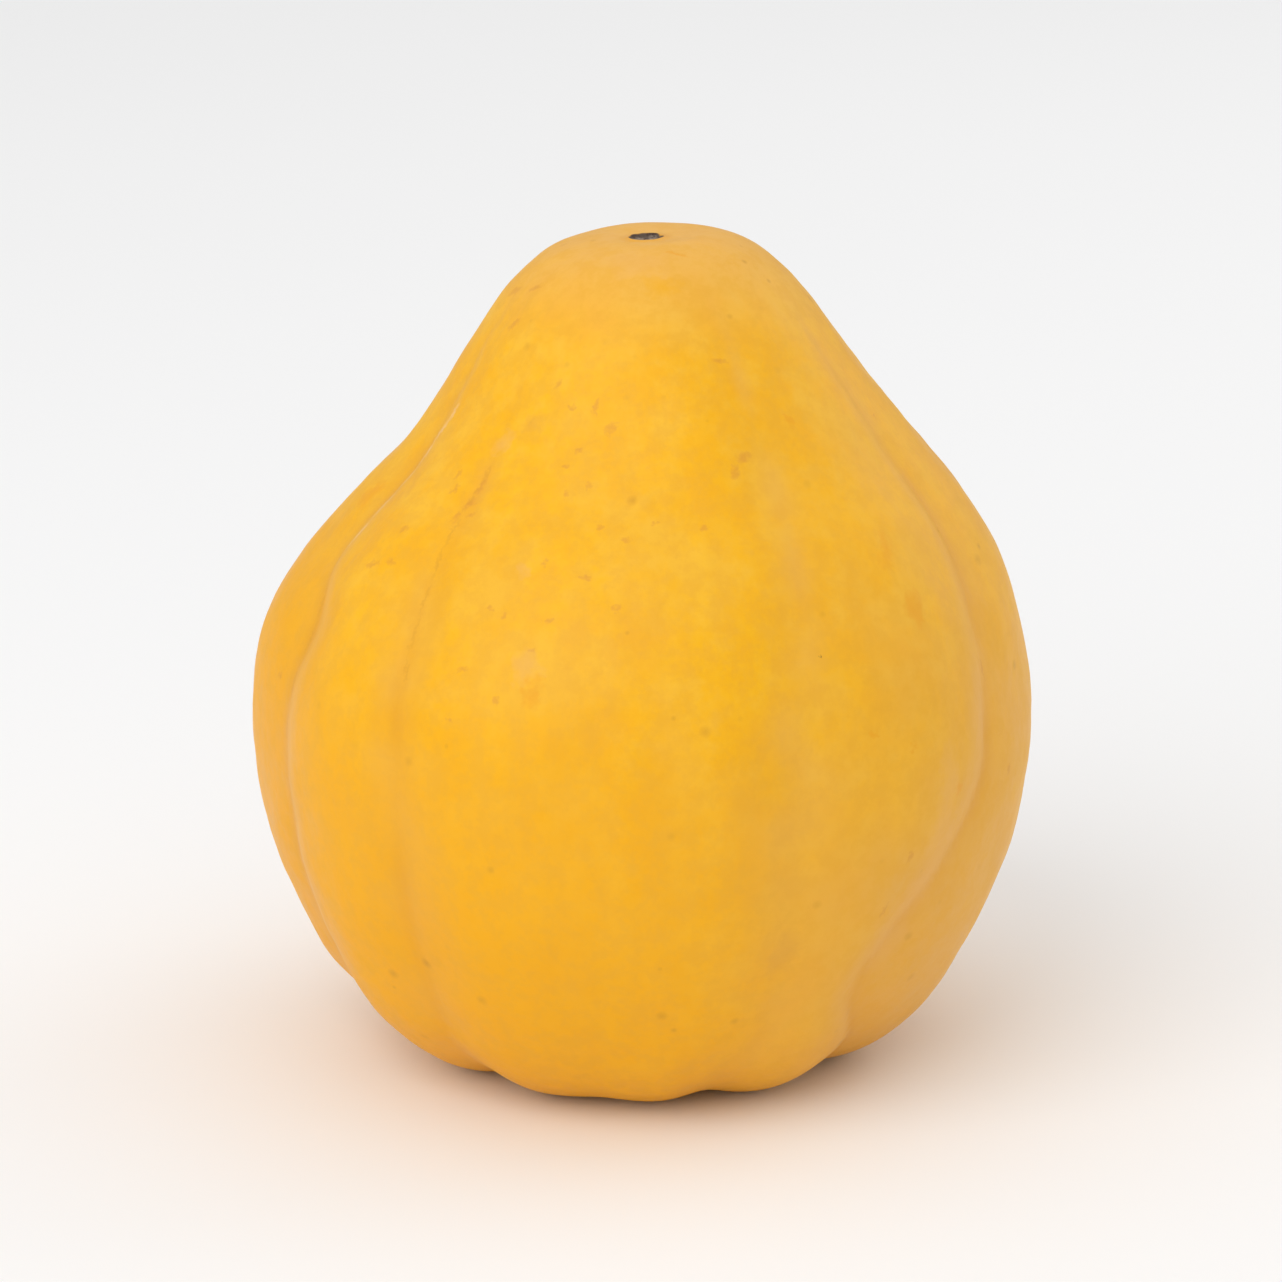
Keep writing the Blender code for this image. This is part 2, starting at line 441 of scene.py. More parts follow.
@dataclass
class WinterSquash:
    """The fruit, raised from rings and dressed in its rind.

    Attributes:
        name: The piece's name.
        node: The solid that it stands for.
        stations: Its rings, from the stem scar to the blossom scar.
        grooves: Its grooves, in the order of their angles.
        levels: The heights at which a groove's angles are given.
        meridians: How many points a ring has.
        widest_gap: The furthest apart that two rings may be.
        crease_share: The share of a groove's depth that lies in a narrow crease.
        crease_width: How wide the crease is, as an angle.
        crown_fade: The heights between which the grooves lose what they don't keep at the crown.
        line_depth: How deep the thin line in a groove's bed is cut.
        line_width: How wide it is, as an angle.
        line_break: The height over which it comes and goes.
        line_fade: The heights between which it dies out.
        bloom_width: How wide the dusty band in a groove's bed is, as an angle.
        bloom_spread: How many times wider it is at some heights.
        bloom_reach: How clear it is at some heights.
        bloom_fade: The heights between which it loses what the groove doesn't keep at the crown.
        bloom_drift: How far it may stray from the bed, as an angle.
        bloom_turn: The height over which it strays to one side.
        bloom_wear: The height of its worn patches.
        shoulder_height: How proud the edge of a rib may stand.
        shoulder_offset: How far past a groove that edge lies, as an angle.
        shoulder_width: How wide it is, as an angle.
        shoulder_gain: How much sooner than its groove it reaches its full height.
        crease_shade_gain: How much further up a groove's sides its painted shade goes than its depth.
        groove_depth: How deep the deepest groove is.
        swells: The spans over which the skin swells, and by how much.
        swell_radius: How far from the axis it comes to swell fully.
        swell_foot: The height above the ground up to which it doesn't swell.
        swell_rise: The further height over which it comes to swell fully.
        foot_top: The height below which the stem end lies.
        cork_grain: The span and the height of the stem scar's roughness.
        ray_count: How many cracks the stem scar has.
        ray_depth: How deep they are.
        foot_press: How far the feet are pressed flat.
        stem_radius: The radius of the stem scar.
        blossom_radius: The radius of the blossom scar.
        marks: The marks on its rind.
        seated: How far the fruit was moved to stand where its solid stands.
    """

    name: str = "winter_squash_fruit"
    node: str = "winter_squash"
    stations: tuple[Station, ...] = STEM_END + FLANK + BLOSSOM_END
    grooves: tuple[Groove, ...] = (
        Groove((-72, -66, -67, -66, -74.5, -74.5), 0.90, 0.7, 0.9, 0.15),
        Groove((-40, -38, -37.5, -39.5, -42.8, -44), 0.62, 0.6, 0.0, 0.7, 0.35),
        Groove((-11, -9, -9, -9, -9, -10), 0.16, 0.0, 0.0, 0.0),
        Groove((16, 22, 22, 22.5, 23.5, 25), 0.42, 0.1, 0.0, 1.0),
        Groove((48, 38, 60, 62.5, 64.5, 64), 0.80, 0.9, -0.8, 0.9),
        Groove((92, 90, 97, 96, 97, 97), 0.90, 0.5),
        Groove((131, 131, 134, 135, 134, 133), 1.00, 0.7, 0.5),
        Groove((173, 173, 172, 173, 172, 171), 0.85, 0.4, 0.0, 0.8),
        Groove((211, 211, 209, 210, 210, 208), 1.00, 0.8, -0.5),
        Groove((249, 252, 250, 250, 248, 247), 0.95, 0.5),
    )
    levels: tuple[float, ...] = (0.009, 0.031, 0.083, 0.105, 0.120, 0.147)
    meridians: int = 72
    widest_gap: float = 0.0085
    crease_share: float = 0.35
    crease_width: float = math.radians(5)
    crown_fade: tuple[float, float] = (0.115, 0.145)
    line_depth: float = 0.00045
    line_width: float = math.radians(1.5)
    line_break: float = 0.022
    line_fade: tuple[float, float] = (0.140, 0.170)
    bloom_width: float = math.radians(3.4)
    bloom_spread: tuple[tuple[float, float], ...] = ((0.06, 1.8), (0.11, 1.1), (0.15, 0.8))
    bloom_reach: tuple[tuple[float, float], ...] = ((0.05, 0.7), (0.09, 1.0), (0.160, 1.0), (0.180, 0.0))
    bloom_fade: tuple[float, float] = (0.135, 0.155)
    bloom_drift: float = 0.04
    bloom_turn: float = 0.018
    bloom_wear: float = 0.012
    shoulder_height: float = 0.0007
    shoulder_offset: float = math.radians(3.6)
    shoulder_width: float = math.radians(2.1)
    shoulder_gain: float = 1.6
    crease_shade_gain: float = 1.5
    groove_depth: float = 0.0045
    swells: tuple[tuple[float, float], ...] = ((0.050, 0.0034), (0.020, 0.0012), (0.0085, 0.00035))
    swell_radius: float = 0.025
    swell_foot: float = 0.0006
    swell_rise: float = 0.018
    foot_top: float = 0.02
    cork_grain: tuple[float, float] = (0.0035, 0.0009)
    ray_count: int = 10
    ray_depth: float = 0.0007
    foot_press: float = 0.0008
    stem_radius: float = 0.0115
    blossom_radius: float = 0.0037
    marks: tuple[Mark, ...] = MARKS
    seated: Vector = field(default_factory=Vector)

    def build(self) -> bpy.types.Object:
        """Makes the whole fruit and ties it to the solid.

        Returns:
            The finished piece.
        """
        fruit = self.raise_rings()
        self.close_ends(fruit)
        round_off(fruit)
        self.cut_grooves(fruit)
        round_off(fruit)
        self.weather(fruit)
        self.seat(fruit)
        self.label(fruit)
        bpy.ops.object.shade_smooth()
        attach(fruit, "root")
        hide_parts(self.node)
        return fruit

    def rings(self) -> list[Station]:
        """The stations with more rings eased in wherever two lie too far apart.

        Returns:
            Every ring of the fruit, from the stem scar to the blossom scar.
        """
        rows = [np.array([s.radius, s.height, s.groove, s.lean, s.nod, s.tilt]) for s in self.stations]
        rings = []
        for i, (start, end) in enumerate(zip(rows, rows[1:])):
            before, after = rows[max(i - 1, 0)], rows[min(i + 2, len(rows) - 1)]
            steps = math.ceil(math.hypot(*(end - start)[:2]) / (self.widest_gap * MM_PER_M))
            for t in np.arange(steps) / steps:
                bend = (2 * before - 5 * start + 4 * end - after) * t**2
                twist = (3 * start - before - 3 * end + after) * t**3
                rings.append(Station(*(0.5 * (2 * start + (end - before) * t + bend + twist))))
        return [*rings, self.stations[-1]]

    def raise_rings(self) -> bpy.types.Object:
        """Extrudes one circle through all the rings and paints what each ring carries.

        Returns:
            The open skin, with the groups "groove" and "swell".
        """
        deselect_all()
        rings = self.rings()
        middles = [Vector((ring.lean, ring.nod, ring.height)) / MM_PER_M for ring in rings]
        bpy.ops.mesh.primitive_circle_add(
            vertices=self.meridians, radius=rings[0].radius / MM_PER_M, location=middles[0]
        )
        fruit = start_piece(self.name, bpy.context.object)
        bpy.ops.object.transform_apply(location=True, rotation=True, scale=True)
        bpy.ops.object.mode_set(mode="EDIT")
        bpy.ops.mesh.select_all(action="SELECT")
        for last, ring, below, middle in zip(rings, rings[1:], middles, middles[1:]):
            bpy.ops.mesh.extrude_region_move(TRANSFORM_OT_translate={"value": middle - below})
            bpy.ops.transform.resize(value=(ring.radius / last.radius,) * 3, center_override=middle)
            turn = math.radians(ring.tilt - last.tilt)
            bpy.ops.transform.rotate(value=turn, orient_axis="Y", center_override=middle)
        bpy.ops.object.mode_set(mode="OBJECT")
        depths = [ring.groove / MM_PER_M / self.groove_depth for ring in rings]
        swell = [self.swell_at(ring) for ring in rings]
        paint(fruit, "groove", np.repeat(depths, self.meridians))
        paint(fruit, "swell", np.repeat(swell, self.meridians))
        return fruit

    def swell_at(self, ring: Station) -> float:
        """How freely the skin swells on a ring, from 0 at the poles and on the ground to 1."""
        above_foot = max(0.0, ring.height / MM_PER_M - self.swell_foot)
        return min(1.0, ring.radius / MM_PER_M / self.swell_radius, above_foot / self.swell_rise)

    def close_ends(self, fruit: bpy.types.Object) -> None:
        """Draws each open end together in one point, and turns the skin outwards.

        Args:
            fruit: The open skin.
        """
        low = np.arange(len(fruit.data.vertices)) < self.meridians
        for end in (low, np.flip(low)):
            chosen = np.zeros(len(fruit.data.vertices), bool)
            chosen[: len(end)] = end
            pick_points(fruit, chosen)
            bpy.ops.mesh.extrude_region_move()
            bpy.ops.mesh.merge(type="CENTER")
            bpy.ops.object.mode_set(mode="OBJECT")
        bpy.ops.object.mode_set(mode="EDIT")
        bpy.ops.mesh.select_all(action="SELECT")
        bpy.ops.mesh.normals_make_consistent(inside=False)
        bpy.ops.object.mode_set(mode="OBJECT")

    def around(self, places: np.ndarray) -> tuple[np.ndarray, np.ndarray]:
        """Where each point lies round the fruit.

        Args:
            places: Points, one row each.

        Returns:
            Each point's angle from the front, and its angle past each groove, one row for each.
        """
        angle = np.arctan2(places[:, 0] - self.lean_at(places[:, 2]), -places[:, 1])
        past = angle - self.beds_at(places[:, 2])
        return angle, (past + math.pi) % math.tau - math.pi

    def lean_at(self, heights: np.ndarray) -> np.ndarray:
        """How far along X the fruit leans at some heights, between the foot and the crown."""
        known = [(station.height / MM_PER_M, station.lean / MM_PER_M) for station in FLANK + BLOSSOM_END[:1]]
        return np.interp(heights, *zip(*known))

    def beds_at(self, heights: np.ndarray) -> np.ndarray:
        """Finds the beds of the grooves, which turn gently from one level to the next.

        Args:
            heights: Some heights.

        Returns:
            The angle of each groove's bed from the front, one row for each groove.
        """
        level = np.array(self.levels)
        heights = np.clip(heights, level[0], level[-1])
        step = np.clip(np.searchsorted(level, heights, side="right") - 1, 0, len(level) - 2)
        t = (heights - level[step]) / (level[step + 1] - level[step])
        t = t * t * (3 - 2 * t)
        turns = np.radians([groove.angles for groove in self.grooves])
        return turns[:, step] * (1 - t) + turns[:, step + 1] * t

    def groove_shares(self, past: np.ndarray, places: np.ndarray) -> np.ndarray:
        """How deep the skin dips, from 1 in the bed of a full groove to 0 on a crest.

        Args:
            past: Each point's angle past each groove.
            places: The points.

        Returns:
            One share for each point.
        """
        depths = np.array([groove.depth for groove in self.grooves])
        lost = np.array([1 - groove.crown for groove in self.grooves])
        rising, falling = past % math.tau, -past % math.tau
        left, right = rising.min(0), falling.min(0)
        nearest = np.where(left < right, rising.argmin(0), falling.argmin(0))
        valley = np.cos(math.pi * left / (left + right)) ** 2
        crease = fall_off(np.minimum(left, right), self.crease_width)
        depths = depths[nearest] * (1 - lost[nearest] * np.interp(places[:, 2], self.crown_fade, (0, 1)))
        return depths * ((1 - self.crease_share) * valley + self.crease_share * crease)

    def shoulder_shares(self, past: np.ndarray, depth: np.ndarray) -> np.ndarray:
        """How far each point stands on the proud edge of a rib, from 0 to 1.

        Args:
            past: Each point's angle past each groove.
            depth: How deep a full groove is at each point, from 0 to 1.

        Returns:
            One share for each point.
        """
        shares = np.zeros(past.shape[1])
        for groove, away in zip(self.grooves, past):
            side = math.copysign(self.shoulder_offset, groove.shoulder)
            shares += abs(groove.shoulder) * fall_off(away - side, self.shoulder_width)
        return np.minimum(1, self.shoulder_gain * depth) * shares

    def line_shares(self, past: np.ndarray, places: np.ndarray) -> np.ndarray:
        """How deep each point lies in the thin, broken line down a groove, from 0 to 1.

        Args:
            past: Each point's angle past each groove.
            places: The points.

        Returns:
            One share for each point.
        """
        heights = places[:, 2].tolist()
        shares = np.zeros(past.shape[1])
        for index, (groove, away) in enumerate(zip(self.grooves, past)):
            breaks = soft_noise((index * 3.0, 0.0, z / self.line_break) for z in heights)
            shares += groove.line * np.clip(0.75 + breaks, 0, 1) * fall_off(away, self.line_width)
        return shares * np.interp(heights, self.line_fade, (1, 0))

    def bloom_shares(self, past: np.ndarray, places: np.ndarray) -> np.ndarray:
        """How far each point lies in the dull, dusty band down a groove, from 0 to 1.

        The band wanders to either side of the bed, and it is worn away in patches.

        Args:
            past: Each point's angle past each groove.
            places: The points.

        Returns:
            One share for each point.
        """
        heights = places[:, 2].tolist()
        shares = np.zeros(past.shape[1])
        width = self.bloom_width * np.interp(heights, *zip(*self.bloom_spread))
        lost = np.interp(heights, self.bloom_fade, (0, 1))
        for index, (groove, away) in enumerate(zip(self.grooves, past)):
            drift = self.bloom_drift * soft_noise((index * 5.0, 9.0, z / self.bloom_turn) for z in heights)
            spread = zip(away.tolist(), heights)
            worn = soft_noise((index * 5.0, a * 6, z / self.bloom_wear) for a, z in spread)
            kept = 1 - (1 - groove.crown) * lost
            shares += groove.bloom * kept * np.clip(0.6 + 1.2 * worn, 0, 1) * fall_off(away - drift, width)
        return shares * np.interp(heights, *zip(*self.bloom_reach))

    def cut_grooves(self, fruit: bpy.types.Object) -> None:
        """Pushes the grooves in and the proud shoulders beside them out.

        Args:
            fruit: The closed skin.
        """
        places = points_of(fruit)
        _, past = self.around(places)
        depth = weights_of(fruit, "groove")
        paint(fruit, "dip", depth * self.groove_shares(past, places))
        paint(fruit, "shoulder", self.shoulder_shares(past, depth))
        push(fruit, "dip", -self.groove_depth)
        push(fruit, "shoulder", self.shoulder_height)

    def weather(self, fruit: bpy.types.Object) -> None:
        """Draws the thin lines, and makes the skin and the two scars uneven.

        Args:
            fruit: The grooved skin.
        """
        places = points_of(fruit)
        angle, past = self.around(places)
        paint(fruit, "line", weights_of(fruit, "swell") * self.line_shares(past, places))
        push(fruit, "line", -self.line_depth)
        # The cork fills the stem scar, and its cracks run out from its middle like uneven spokes.
        reach = np.hypot(places[:, 0], places[:, 1]) / self.stem_radius
        cork = np.clip(1.15 - reach, 0, 1) * (places[:, 2] < self.foot_top)
        rays = 0.5 + 0.5 * np.cos(self.ray_count * angle + 1.5 * np.sin(3 * angle))
        paint(fruit, "cork", cork * 4)
        paint(fruit, "rays", np.clip(cork * 3, 0, 1) * np.clip(reach * 2 - 0.3, 0, 1) * rays)
        push(fruit, "rays", -self.ray_depth)
        roughen(fruit, "cork", *self.cork_grain)
        for span, height in self.swells:
            roughen(fruit, "swell", span, height)

    def seat(self, fruit: bpy.types.Object) -> None:
        """Puts the fruit where its solid stands and presses its feet flat on the ground.

        Args:
            fruit: The fruit, where it was raised.
        """
        low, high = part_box(self.node)
        places = points_of(fruit)
        middle = (places.min(0) + places.max(0)) / 2
        across = ((low.x + high.x) / 2 - middle[0], (low.y + high.y) / 2 - middle[1])
        self.seated = Vector((*across, low.z - places[:, 2].min() - self.foot_press))
        pick_points(fruit, np.ones(len(places), bool))
        bpy.ops.transform.translate(value=self.seated)
        bpy.ops.object.mode_set(mode="OBJECT")
        pick_points(fruit, points_of(fruit)[:, 2] < low.z)
        bpy.ops.transform.resize(value=(1, 1, 0), center_override=(0, 0, low.z))
        bpy.ops.object.mode_set(mode="OBJECT")

    def label(self, fruit: bpy.types.Object) -> None:
        """Writes on each point what the rind has to know of the grooves, which it turns into painted shade,
        painted highlights and dusty bands, and drops the groups.

        Args:
            fruit: The seated fruit.
        """
        places = points_of(fruit) - np.array(self.seated)
        _, past = self.around(places)
        depth = weights_of(fruit, "groove")
        for name, shares in (
            ("dip", self.crease_shade_gain * depth * self.groove_shares(past, places)),
            ("shoulder", self.shoulder_shares(past, depth)),
            ("bloom", self.bloom_shares(past, places)),
            ("line", weights_of(fruit, "line")),
        ):
            layer = fruit.data.attributes.new(f"rib_{name}", "FLOAT", "POINT")
            layer.data.foreach_set("value", np.clip(shares, 0, 1).astype(np.float32))
        fruit.vertex_groups.clear()

    def stem_scar(self) -> Vector:
        """The middle of the stem scar."""
        return self.seated + Vector((0, 0, self.stations[0].height / MM_PER_M))

    def blossom_scar(self) -> Vector:
        """The middle of the blossom scar."""
        top = self.stations[-1]
        return self.seated + Vector((top.lean, top.nod, top.height)) / MM_PER_M

    def spot(self, fruit: bpy.types.Object, mark: Mark) -> Oval:
        """Lays a mark on the skin.

        Args:
            fruit: The finished piece.
            mark: The mark.

        Returns:
            The oval that it covers.
        """
        angle = math.radians(mark.angle)
        out = Vector((math.sin(angle), -math.cos(angle), 0))
        found, place, normal, _ = fruit.ray_cast(Vector((0, 0, mark.height / MM_PER_M)) + out, -out)
        if not found:
            raise ValueError(f"no skin at {mark}")
        level = Vector((0, 0, 1)).cross(normal).normalized()
        upward = normal.cross(level).normalized()
        slope = math.radians(mark.slope)
        along = level * math.cos(slope) + upward * math.sin(slope)
        return Oval(place, along, mark.length / 2 / MM_PER_M, mark.width / 2 / MM_PER_M)


# ---------------------------------------------------------------- the finishes


class NodeBench:
    """A node tree, with the few moves that every finish is made of."""

    def __init__(self, tree: bpy.types.NodeTree) -> None:
        """Takes the tree to work on."""
        self.tree = tree

    def add(self, kind: str, inputs: Inputs | None = None, **settings: object) -> bpy.types.Node:
        """Adds a node.

        Args:
            kind: The node's type, without the words ShaderNode in front.
            inputs: What goes into its sockets: a value, or another node's socket.
            **settings: The node's properties.

        Returns:
            The new node.
        """
        node = self.tree.nodes.new(kind if kind.startswith("Node") else f"ShaderNode{kind}")
        for name, value in settings.items():
            setattr(node, name, value)
        self.fill(node, inputs or {})
        return node

    def fill(self, node: bpy.types.Node, inputs: Inputs) -> None:
        """Links or sets some of a node's sockets.

        Args:
            node: The node.
            inputs: What goes into each socket.
        """
        for name, value in inputs.items():
            if isinstance(value, Socket):
                self.tree.links.new(value, node.inputs[name])
            else:
                node.inputs[name].default_value = value

    def maths(self, operation: str, *values: object, clamp: bool = False) -> Socket:
        """Works out one number from others."""
        return self.add("Math", dict(enumerate(values)), operation=operation, use_clamp=clamp).outputs[0]

    def times(self, first: object, second: object) -> Socket:
        """Multiplies two numbers."""
        return self.maths("MULTIPLY", first, second)

    def vector(self, operation: str, *values: object) -> Socket:
        """Works out one vector from others."""
        return self.add("VectorMath", dict(enumerate(values)), operation=operation).outputs["Vector"]

    def length(self, value: Socket) -> Socket:
        """The length of a vector."""
        return self.add("VectorMath", {0: value}, operation="LENGTH").outputs["Value"]

    def group(self, name: str, inputs: Inputs) -> bpy.types.Node:
        """Places a shared effect.

        Args:
            name: The name of its node group.
            inputs: What goes into its sockets here.

        Returns:
            The group's node.
        """
        placed = self.tree.nodes.new("ShaderNodeGroup")
        placed.node_tree = bpy.data.node_groups[name]
        self.fill(placed, inputs)
        return placed

    def mix(self, share: object, first: object, second: object) -> Socket:
        """Mixes a share of a second colour into a first."""
        return self.add("Mix", {0: share, 6: first, 7: second}, data_type="RGBA").outputs[2]

    def fade(self, value: object, start: float, end: float, low: float = 0, high: float = 1) -> Socket:
        """Eases from a low to a high number as a value goes from start to end."""
        inputs = {"Value": value, "From Min": start, "From Max": end, "To Min": low, "To Max": high}
        return self.add("MapRange", inputs, interpolation_type="SMOOTHSTEP").outputs["Result"]

    def grain(self, at: object, span: float, detail: float = 2.0, roughness: float = 0.5) -> Socket:
        """Soft noise from 0 to 1 that rises and falls over about a span, in metres."""
        inputs = {"Vector": at, "Scale": 1 / span, "Detail": detail, "Roughness": roughness}
        return self.add("TexNoise", inputs).outputs[0]

    def stray(self, at: Socket, scale: float, detail: float, reach: float, point: Socket) -> Socket:
        """Moves a point about by soft noise, at most by half the reach to each side."""
        drift = self.add("TexNoise", {"Vector": at, "Scale": scale, "Detail": detail}).outputs["Color"]
        return self.vector("MULTIPLY_ADD", self.vector("SUBTRACT", drift, (0.5,) * 3), (reach,) * 3, point)

    def inside(self, at: Socket, oval: Oval) -> Socket:
        """How far inside an oval a point is.

        Args:
            at: The point.
            oval: The oval.

        Returns:
            A number that falls from 1 in the oval's middle to 0 at its edge.
        """
        ball = self.add("TexGradient", {0: at}, gradient_type="SPHERICAL")
        ball.texture_mapping.vector_type = "TEXTURE"
        ball.texture_mapping.translation = oval.middle
        ball.texture_mapping.rotation = oval.along.to_track_quat("X", "Z").to_euler()
        ball.texture_mapping.scale = (oval.length, oval.width, oval.width)
        return ball.outputs["Fac"]


def new_group(
    name: str, takes: dict[str, str], gives: dict[str, str]
) -> tuple[NodeBench, bpy.types.Node, bpy.types.Node]:
    """Starts a shader node group.

    Args:
        name: The group's name.
        takes: The name and socket type of each input.
        gives: The name and socket type of each output.

    Returns:
        A bench on the group, its input node and its output node.
    """
    tree = bpy.data.node_groups.new(name, "ShaderNodeTree")
    for sockets, side in ((takes, "INPUT"), (gives, "OUTPUT")):
        for socket, kind in sockets.items():
            tree.interface.new_socket(socket, in_out=side, socket_type=f"NodeSocket{kind}")
    bench = NodeBench(tree)
    return bench, bench.add("NodeGroupInput"), bench.add("NodeGroupOutput")


def new_finish(name: str) -> tuple[bpy.types.Material, NodeBench, bpy.types.Node, Socket]:
    """Starts a material.

    Args:
        name: The material's name.

    Returns:
        The material, a bench on its nodes, its shader, and the point on the piece.
    """
    made = bpy.data.materials.new(name)
    made.use_nodes = True
    bench = NodeBench(made.node_tree)
    return made, bench, made.node_tree.nodes["Principled BSDF"], bench.add("TexCoord").outputs["Object"]


def scar_group() -> bpy.types.NodeTree:
    """Builds the effect of a dried scar: its bare disc, its dark rim and the stained ring round it.

    Returns:
        The node group, which every scar shares.
    """
    takes = {"Place": "Vector", "Middle": "Vector", "Radius": "Float", "Wander": "Float"}
    bench, given, out = new_group("scar", takes, {"Disc": "Float", "Rim": "Float", "Halo": "Float"})
    apart = bench.vector("SUBTRACT", given.outputs["Place"], given.outputs["Middle"])
    far = bench.maths("DIVIDE", bench.length(apart), given.outputs["Radius"])
    far = bench.maths("ADD", far, given.outputs["Wander"])
    rim = bench.times(bench.fade(far, 0.70, 0.92), bench.fade(far, 1.14, 1.0))
    bench.fill(out, {"Disc": bench.fade(far, 1.06, 0.94), "Rim": rim, "Halo": bench.fade(far, 1.8, 1.05)})
    return bench.tree


@dataclass(frozen=True)
class Rind:
    """The finish of the fruit: a dull waxy golden rind, bare and dry at its two scars.

    Attributes:
        gold: The rind's main colour.
        amber_and_shade: What it deepens to in blotches, low on the fruit, where it is partly painted shade,
            and on its left lobe, where it is painted shade and orange bounce light.
        straw: What it pales to in blotches.
        tan: The duller colour of its streaks and stipple.
        dust_and_sheen: The greyer colour of the right side, where it is painted sheen with some dust, and of
            the grooves' dusty bands.
        peach_sheen: The paler colour round the blossom scar, partly the rind's own and partly a painted
            reflection, and of the painted highlight along the proud shoulders.
        crease: The colour of the painted shade in the grooves and down their thin lines, and of the stained
            ring round the blossom scar.
        freckle: The colour of the small freckles.
        cork: The stem scar's dry colour.
        crack: The colour down in its cracks.
        char: The blossom scar's dark colour.
        ash: The lighter colour of its middle.
        roughness: How rough the waxy rind is.
        dryness: How much rougher a scar is.
        gloss: How much light the rind mirrors.
        freckle_gap: How far apart the freckles are.
        pore_span: How far apart the pores are.
        dent_span: How far apart the finest dents are.
    """

    gold: Colour = (0.950, 0.490, 0.001, 1.0)
    amber_and_shade: Colour = (0.900, 0.410, 0.001, 1.0)
    straw: Colour = (0.930, 0.520, 0.036, 1.0)
    tan: Colour = (0.820, 0.400, 0.022, 1.0)
    dust_and_sheen: Colour = (0.800, 0.430, 0.085, 1.0)
    peach_sheen: Colour = (0.840, 0.450, 0.095, 1.0)
    crease: Colour = (0.740, 0.310, 0.008, 1.0)
    freckle: Colour = (0.560, 0.240, 0.015, 1.0)
    cork: Colour = (0.420, 0.270, 0.130, 1.0)
    crack: Colour = (0.090, 0.045, 0.020, 1.0)
    char: Colour = (0.060, 0.036, 0.028, 1.0)
    ash: Colour = (0.330, 0.260, 0.200, 1.0)
    roughness: float = 0.48
    dryness: float = 0.4
    gloss: float = 0.26
    freckle_gap: float = 0.0075
    pore_span: float = 0.0013
    dent_span: float = 0.0055

    def material(self, squash: WinterSquash, fruit: bpy.types.Object) -> bpy.types.Material:
        """Builds the rind's material.

        Args:
            squash: The fruit's sizes.
            fruit: The finished piece, on which the marks find their places.

        Returns:
            The material.
        """
        made, bench, shader, place = new_finish("waxy rind")
        colour, satin = self.skin(bench, place)
        colour = self.freckled(bench, place, colour)
        colour = self.marked(bench, place, colour, squash, fruit)
        colour, dry = self.scarred(bench, place, colour, squash)
        rough = bench.maths("MULTIPLY_ADD", dry, self.dryness, satin, clamp=True)
        pores = bench.times(bench.grain(place, self.pore_span, 1.0), 0.05)
        dents = bench.maths("MULTIPLY_ADD", bench.grain(place, self.dent_span, 1.0), 0.22, pores)
        bump = bench.add("Bump", {"Height": dents, "Strength": 1.0, "Distance": 0.001})
        bench.fill(shader, {"Base Color": colour, "Roughness": rough, "Normal": bump.outputs["Normal"]})
        shader.inputs["Specular IOR Level"].default_value = self.gloss
        return made

    def skin(self, bench: NodeBench, place: Socket) -> tuple[Socket, Socket]:
        """The rind's colours: blotches, streaks from pole to pole and a fine stipple, with painted shade and
        painted sheen laid over them.

        Args:
            bench: The material's bench.
            place: The point on the fruit.

        Returns:
            The colour and the roughness.
        """
        split = bench.add("SeparateXYZ", {0: place})
        east, up = split.outputs["X"], split.outputs["Z"]
        spokes = bench.vector("NORMALIZE", bench.vector("MULTIPLY", place, (1, 1, 0)))
        spokes = bench.vector("MULTIPLY_ADD", place, (0, 0, 3.0), spokes)
        streaks = bench.fade(bench.grain(spokes, 0.11, 2.0, 0.6), 0.32, 0.72)
        broad = bench.fade(bench.grain(place, 0.048, 2.0), 0.30, 0.70)
        mottle = bench.grain(bench.vector("ADD", place, (0.3, 0.1, 0.2)), 0.016, 4.0, 0.72)
        blotches = bench.fade(mottle, 0.42, 0.66)
        stipple = bench.fade(bench.grain(place, 0.0045, 3.0, 0.70), 0.38, 0.66)
        # The masks of the painted shade low down and on the left, and of the painted sheen on the right.
        west = bench.fade(east, 0.055, -0.050, 0.35, 1.25)
        low = bench.times(bench.fade(up, 0.125, 0.045, 0.0, 0.62), west)
        patchy = bench.maths("MULTIPLY_ADD", broad, 0.35, 0.25)
        side = bench.times(bench.fade(east, 0.010, 0.062), patchy)
        # Each tint lies over the ones before it, by its own share.
        tints = [
            (bench.times(broad, 0.50), self.amber_and_shade),
            (bench.fade(mottle, 0.48, 0.32, 0.0, 0.45), self.amber_and_shade),
            (bench.times(blotches, 0.70), self.straw),
            (bench.times(streaks, bench.fade(up, 0.165, 0.110, 0.05, 0.42)), self.tan),
            # Deeper amber towards the bottom, more so on the left: partly the rind's own colour, partly
            # painted shade.
            (low, self.amber_and_shade),
            # Painted shade: the left lobe deepened to amber, as shade and orange bounce light from beside it
            # would.
            (bench.fade(east, -0.056, -0.080, 0.0, 0.65), self.amber_and_shade),
            # Paler peach towards the crown: partly the rind's own colour, partly a painted reflection of the
            # bright light overhead.
            (bench.fade(up, 0.160, 0.186, 0.0, 0.80), self.peach_sheen),
            # Painted sheen with some dust: greyer on the right side, most of all low down.
            (bench.times(side, bench.fade(up, 0.125, 0.050, 0.38, 1.35)), self.dust_and_sheen),
            (bench.times(stipple, 0.45), self.tan),
        ]
        for layer, share, tone in (
            # Painted shade: the grooves darkened towards the crease colour, the more the deeper they are.
            ("dip", 0.22, self.crease),
            ("bloom", 0.42, self.dust_and_sheen),
            # Painted highlight: a pale peach line along the proud shoulders beside the grooves.
            ("shoulder", 0.38, self.peach_sheen),
            # Painted shade: the thin line down a groove's bed darkened too.
            ("line", 0.50, self.crease),
        ):
